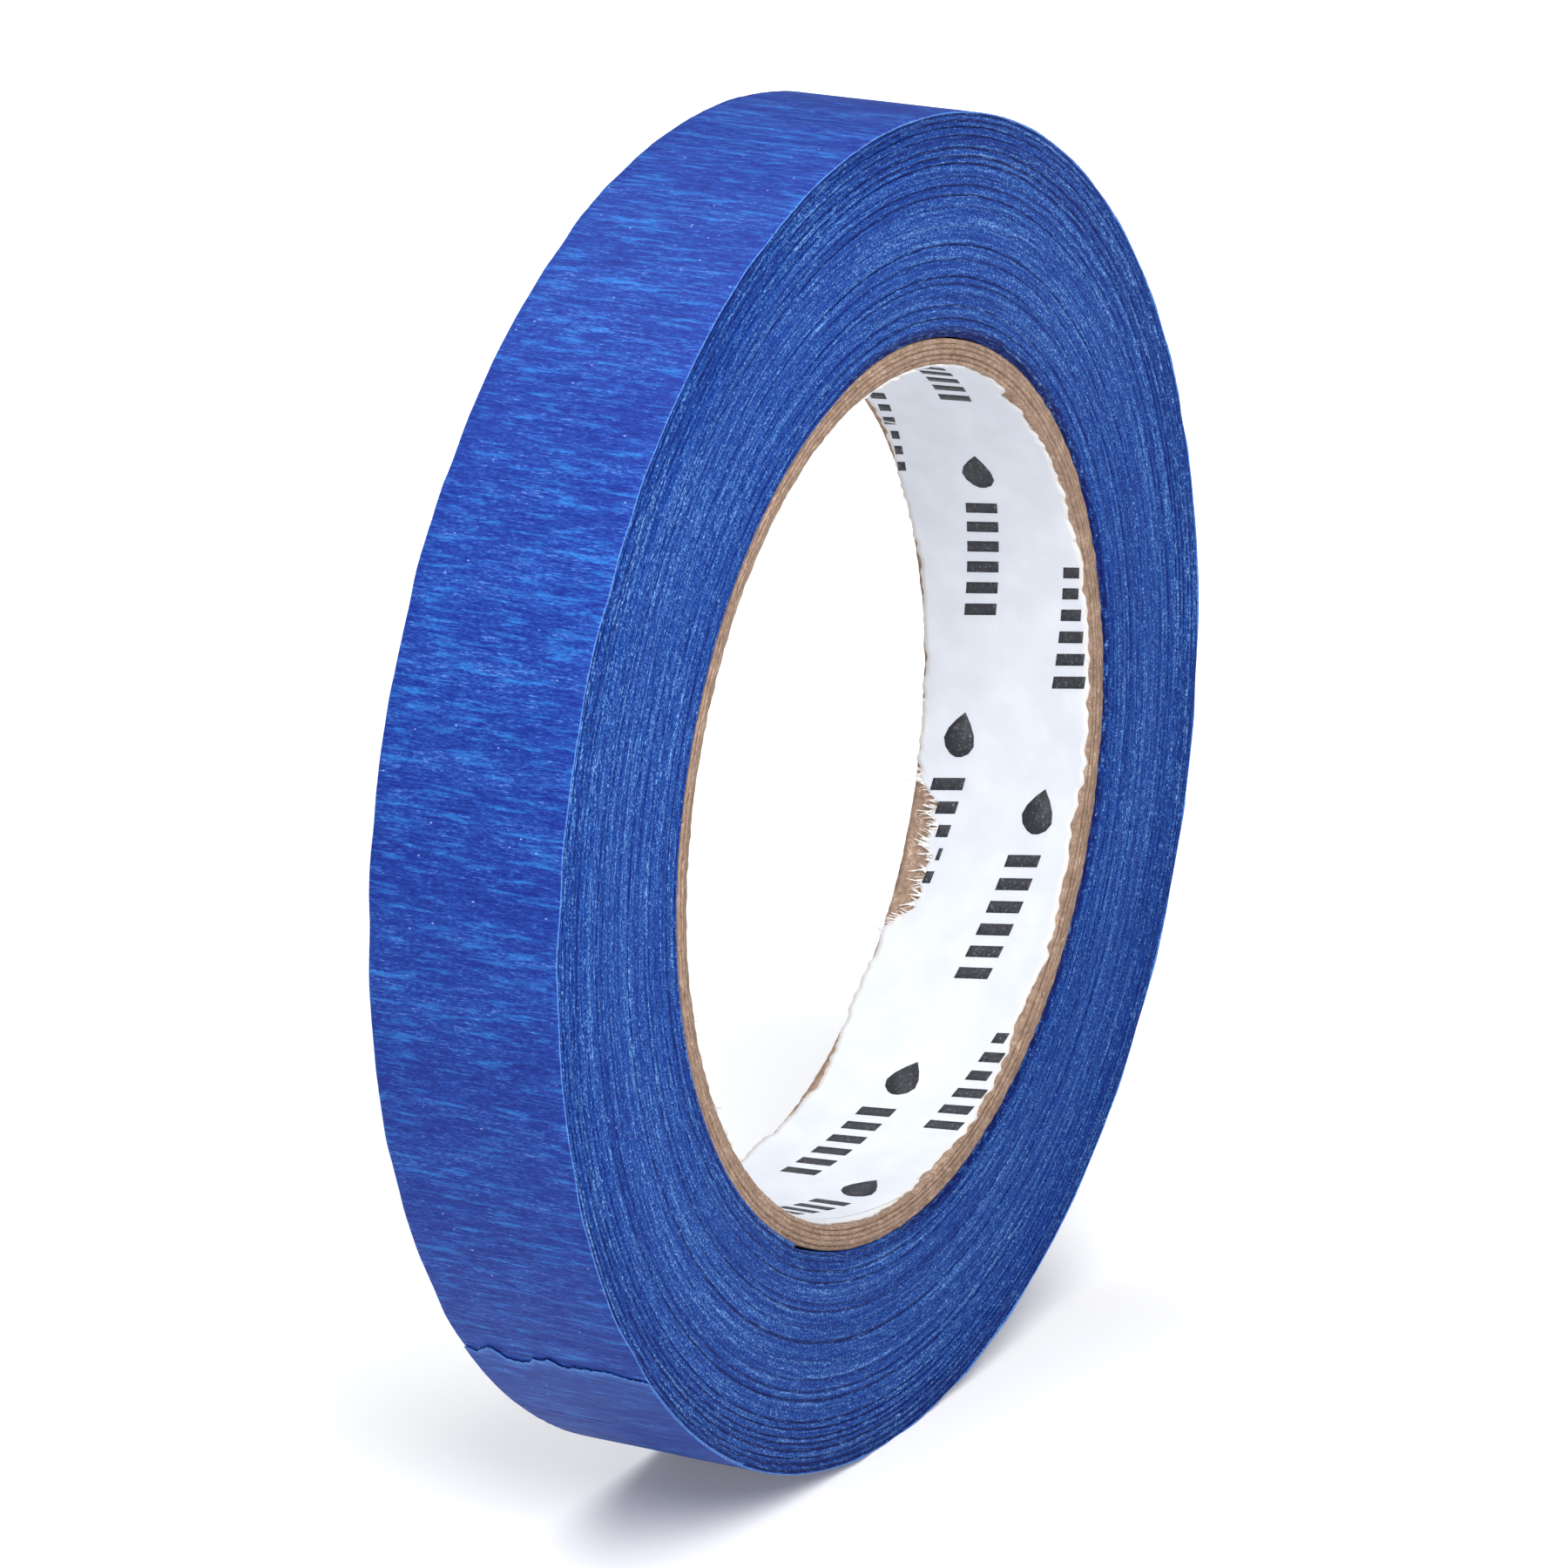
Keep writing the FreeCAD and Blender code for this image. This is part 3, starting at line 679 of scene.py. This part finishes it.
def core_sheet(name, radii, length, grain, shape, material):
    """One ply of the core: a closed tube, whose edges and surface the shape moves.

    shape gives the place along the axis and the change of radius, from the angle and the
    place of a point in the plain tube.
    """
    columns, rows = grain
    inner, outer = radii
    angle = np.linspace(0, TURN, columns, endpoint=False)[:, None]
    across = np.linspace(-length, length, rows)
    across = np.concatenate([across, [length, length, -length, -length]])
    radius = np.full(rows + 4, inner)
    middle = (inner + outer) / 2
    radius[rows:] = (middle, outer, outer, middle)
    across = np.repeat(across[None, :], columns, axis=0)
    place, change = shape(angle, across)
    bulge = 0.02 * (outer - inner)
    place[:, rows] += bulge
    place[:, -1] -= bulge
    change[:, rows:] = 0
    points = round_points(angle, radius + change, place)
    rim_and_painted_recess_shade = np.zeros(points.shape[:2])
    rim_and_painted_recess_shade[:, [0, rows - 1, rows + 1, rows + 2]] = 1
    faces = skin_faces(columns, rows + 4, "joined")
    return make_piece(name, points, faces, material, {"rim_and_painted_recess_shade": rim_and_painted_recess_shade})


def around_field(random, width):
    """A function of the angle: smooth random numbers of unit spread, round the roll."""
    values = ragged(random, 1440, width)
    return lambda angle: np.interp(angle % TURN, np.linspace(0, TURN, 1441),
                                   np.append(values, values[0]))


def ply_shape(random, index, length):
    """Cut rims with a fuzz of fibres, and a nick where the ply's seam meets each rim."""
    fuzz = [around_field(random, 1.6) for _ in range(2)]
    swell = [around_field(random, 40) for _ in range(2)]
    rounding = (0.22, 0.05, 0.0, 0.02, 0.10)[index]
    seam = LINER_SEAM + (index + 1) * SEAM_STAGGER
    nicks = [seam - 2 * length / ROW_TURN, seam]

    def shape(angle, across):
        near = np.clip((np.abs(across) - length + 1.2) / 1.2, 0, 1) ** 3
        at_back = across > 0
        rough = np.where(at_back, fuzz[0](angle), fuzz[1](angle))
        slow = np.where(at_back, swell[0](angle), swell[1](angle))
        seam_at = np.where(at_back, *nicks)
        away = (angle - seam_at + math.pi) % TURN - math.pi
        nick = 0.3 * np.exp(-(away * core_radius / SEAM_GAP) ** 2)
        inward = near * (rounding + 0.03 * rough + 0.03 * slow + nick)
        return across - np.sign(across) * inward, 0 * across
    return shape


def liner_shape(random, length):
    rags = [around_field(random, 2.0) for _ in range(2)]
    waves = [around_field(random, 16) for _ in range(2)]

    def dip(angle, middle, reach, power=2):
        away = (np.degrees(angle) - middle + 180) % 360 - 180
        return np.exp(-np.abs(away / reach) ** power)

    def shape(angle, across):
        trims = []
        for rag, wave in zip(rags, waves):
            trims.append(0.12 * rag(angle) + 0.16 * wave(angle))
        front = trims[0] + 0.9 * dip(angle, 55, 2.4) + 0.4 * dip(angle, 48, 5)
        front += 0.25 * dip(angle, 315, 30)
        back = trims[1] + 2.3 * dip(angle, 333, 9.5, 6) + 0.5 * dip(angle, 326, 3)
        back += 0.3 * dip(angle, 40, 5) + 0.35 * rags[0](angle) * dip(angle, 333, 12)
        near_front = np.clip(0.5 - across / length / 2, 0, 1) ** 3
        near_back = np.clip(0.5 + across / length / 2, 0, 1) ** 3
        place = across + near_front * front - near_back * back
        crease = dip(angle, 41.8 + 0.08 * across, 0.4) * np.clip(across - 1, 0, 1)
        return place, -0.04 * crease
    return shape


def core(board, paper):
    random = np.random.default_rng(5)
    liner_half = half_length("core_liner")
    trimmed = liner_shape(random, liner_half)
    liner = core_sheet("liner", (bore_radius, liner_radius), liner_half, (1440, 30),
                       trimmed, paper)
    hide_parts("core_liner")
    sheets = [liner]
    for index in range(CHIPBOARD_PLIES):
        inner = liner_radius + index * ply_thickness
        node = f"core_ply_{index + 1}"
        length = half_length(node)
        rows = 24 if index == 0 else 8
        ply = core_sheet(f"chipboard_{index + 1}", (inner, inner + ply_thickness), length,
                         (1080, rows), ply_shape(random, index, length), board)
        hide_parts(node)
        sheets.append(ply)
    for sheet in sheets:
        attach(sheet, "roll")

    def edges(angle):
        """Where the liner's front and back edges lie."""
        return [trimmed(angle, side * liner_half + 0 * angle)[0] for side in (-1, 1)]
    return edges


# ---- the print on the liner ----------------------------------------------------------------

INK_HEIGHT = 0.03
INK_SINK = 0.01
INK_MARGIN = 0.15
DEGREES_PER_MM = 180 / math.pi / bore_radius
ROW_RISE = ROW_TURN * math.pi / 180    # along the axis, for each degree

# Rows of marks that follow the seam's slant: each row's place along the axis at angle 0, and
# the angle of one of its marks, in degrees.
PRINT_ROWS = [(-13.5, -104.0), (-6.4, -34.9), (3.5, 17.1), (12.6, 40.0)]
PRINT_PERIOD = 43.0
PRINT_REACH = 13    # a mark whose middle is farther along the axis misses the liner

# One mark: slanted bars after a drop, along the row and across it.
BAR_HALF_HEIGHT = 1.6
BAR_SLANT = 0.3
BAR_WIDTH = 1.2
BARS = [-6.9, -4.6, -2.3, 0.0, 2.3, 4.6]
DROP_PLACE = -11.1
DROP = [(-2.2, 0.02), (-1.3, 0.75), (-0.3, 1.35), (0.7, 1.6), (1.5, 1.25), (2.0, 0.6), (2.15, 0.05)]


def ladder_marks():
    """The generic print, as ladders of point pairs along and across a row: bars and a drop."""
    for left in BARS:
        rungs = []
        for height in np.linspace(-BAR_HALF_HEIGHT, BAR_HALF_HEIGHT, 9):
            near = left + BAR_SLANT * height
            rungs.append(((near, height), (near + BAR_WIDTH, height)))
        yield rungs
    yield [((DROP_PLACE + along, -half), (DROP_PLACE + along, half)) for along, half in DROP]


def longest_run(kept):
    best, start = (0, 0), None
    for place, keep in enumerate([*kept, False]):
        if keep and start is None:
            start = place
        if not keep and start is not None:
            if place - start > best[1] - best[0]:
                best = (start, place)
            start = None
    return best


def ribbons(name, ladders, material):
    """One piece made of many thin closed ribbons; a ladder is rungs of four points each."""
    points, faces = [], []
    for rungs in ladders:
        first = len(points)
        points += [point for rung in rungs for point in rung]
        faces += [[first + i for i in face] for face in skin_faces(len(rungs), 4, "flat")]
    return make_piece(name, np.array(points), faces, material)


def liner_print(edges, material):
    """Rows of marks on the bore, cut off where the paper ends."""
    slope = math.atan(SEAM_SLOPE)
    ladders = []
    for height, phase in PRINT_ROWS:
        for number in range(-9, 10):
            word = phase - PRINT_PERIOD * number
            middle = height - ROW_RISE * word
            if abs(middle) > PRINT_REACH:
                continue
            for rungs in ladder_marks():
                flat = np.array(rungs)
                along, up = flat[..., 0], flat[..., 1]
                back = along * math.cos(slope) - up * math.sin(slope)
                angle = np.radians(word - back * DEGREES_PER_MM)
                place = middle + along * math.sin(slope) + up * math.cos(slope)
                low, high = edges(angle)
                inside = (place > low + INK_MARGIN) & (place < high - INK_MARGIN)
                start, stop = longest_run(inside.all(axis=1))
                if stop - start < 2:
                    continue
                angle, place = angle[start:stop], place[start:stop]
                top = round_points(angle, bore_radius - INK_HEIGHT + 0 * angle, place)
                low = round_points(angle, bore_radius + INK_SINK + 0 * angle, place)
                ladders.append(np.concatenate([top, low[:, ::-1]], axis=1))
    return ribbons("printed_marks", ladders, material)


def torn_fibres(edges, material):
    """Loose fibres where the liner is torn, and a few along its trimmed edges."""
    random = np.random.default_rng(21)
    ladders = []
    for number in range(190):
        at_tear = number < 110
        at_back = at_tear or number % 3 == 0
        degrees = random.uniform(321, 345) if at_tear else random.uniform(0, 360)
        angle = math.radians(degrees)
        low, high = edges(np.array(angle))
        outward = 1 if at_back else -1
        root = (high if at_back else low) - outward * random.uniform(0.02, 0.3)
        reach = random.uniform(0.25, 1.5 if at_tear else 0.5)
        lift = random.uniform(0.0, 0.5 if at_tear else 0.12)
        lean = random.uniform(-0.6, 0.6)
        width = random.uniform(0.05, 0.28 if at_tear else 0.10)
        rungs = []
        for share in np.linspace(0, 1, 5):
            half = width / 2 * (1 - 0.7 * share)
            place = root + outward * reach * share
            middle = angle + lean * reach * share / bore_radius
            radius = bore_radius - 0.01 - lift * share ** 2
            across = np.array([middle - half / bore_radius, middle + half / bore_radius])
            top = round_points(across, radius + 0 * across, place + 0 * across)
            low_side = round_points(across[::-1], radius + 0.035 + 0 * across,
                                    place + 0 * across)
            rungs.append(np.concatenate([top, low_side]))
        ladders.append(rungs)
    return ribbons("loose_fibres", ladders, material)


# ---- the object ----------------------------------------------------------------------------

tape = tape_finish()
edges_material = edges_finish()

wrap = outer_wrap(tape)
halves = [
    winding_half("wound_tape_front", -1, 31, edges_material),
    winding_half("wound_tape_back", 1, 47, edges_material),
]
for piece in [wrap, *halves]:
    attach(piece, "roll")
    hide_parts("tape_winding")

paper_thickness = tape_thickness * PAPER_SHARE
end_paper = free_end_layer(
    "free_end_paper", 0.0, paper_thickness, 0.0, 61, tape
)
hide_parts("tape_end_paper")
end_adhesive = free_end_layer(
    "free_end_adhesive", paper_thickness, tape_thickness, 0.18, 61, adhesive_finish()
)
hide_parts("tape_end_adhesive")

liner_edges = core(board_finish(), liner_finish())
marks = liner_print(liner_edges, ink_finish())
fibres = torn_fibres(liner_edges, fluff_finish())
for piece in (marks, fibres):
    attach(piece, "roll")


# ---- floor, light and camera ---------------------------------------------------------------

FLOOR_GAP = 0.02


def make_floor(material):
    size, cells = 4.0, 8
    lines = np.linspace(-size / 2, size / 2, cells + 1)
    height = -(standing_height + FLOOR_GAP) * MM
    grid = [(x, y, height) for x in lines for y in lines]
    row = cells + 1
    faces = [
        (i * row + j, (i + 1) * row + j, (i + 1) * row + j + 1, i * row + j + 1)
        for i in range(cells) for j in range(cells)
    ]
    mesh = bpy.data.meshes.new("floor")
    mesh.from_pydata(grid, [], faces)
    mesh.materials.append(material)
    floor = bpy.data.objects.new("floor", mesh)
    bpy.context.collection.objects.link(floor)


def make_light(name, direction, distance, size, power, colour):
    """Soft area light that looks at the roll from a direction."""
    lamp = bpy.data.lights.new(name, "AREA")
    lamp.shape = "DISK"
    lamp.size = size
    lamp.energy = power
    lamp.color = colour
    light = bpy.data.objects.new(name, lamp)
    bpy.context.collection.objects.link(light)
    towards = Vector(direction).normalized()
    light.location = towards * distance
    light.rotation_mode = "QUATERNION"
    light.rotation_quaternion = (-towards).to_track_quat("-Z", "Y")


make_floor(floor_finish())

azimuth, elevation = math.radians(-61.5), math.radians(17.2)
back = Vector((
    math.sin(azimuth) * math.cos(elevation),
    -math.cos(azimuth) * math.cos(elevation),
    math.sin(elevation),
))
right = Vector((math.cos(azimuth), math.sin(azimuth), 0))
up = back.cross(right)

make_light("key", (-0.32, -0.28, 0.40), 0.40, 0.32, 2.4, (1.0, 0.99, 0.97))
make_light("front", (-0.6, -1.0, 0.6), 1.5, 1.2, 0.8, (0.97, 0.985, 1.0))
make_light("top", (0.1, 0.4, 1.0), 1.3, 1.0, 11.0, (0.97, 0.985, 1.0))

world = bpy.data.worlds.new("studio")
world.use_nodes = True
world.node_tree.nodes["Background"].inputs["Color"].default_value = WHITE
world.node_tree.nodes["Background"].inputs["Strength"].default_value = 0.32
bpy.context.scene.world = world

CAMERA_DISTANCE = 0.677
CAMERA_SIDE = -0.00247    # steps aside and up that put the roll where it belongs in the frame
CAMERA_RISE = -0.00013
lens = bpy.data.cameras.new("camera")
lens.sensor_width = 36
lens.lens = 175.5
lens.clip_start = 0.05
lens.clip_end = 20
camera = bpy.data.objects.new("camera", lens)
bpy.context.collection.objects.link(camera)
camera.location = back * CAMERA_DISTANCE + right * CAMERA_SIDE + up * CAMERA_RISE
camera.rotation_mode = "QUATERNION"
camera.rotation_quaternion = (-back).to_track_quat("-Z", "Y")
bpy.context.scene.camera = camera
bpy.context.scene.view_settings.view_transform = "Standard"
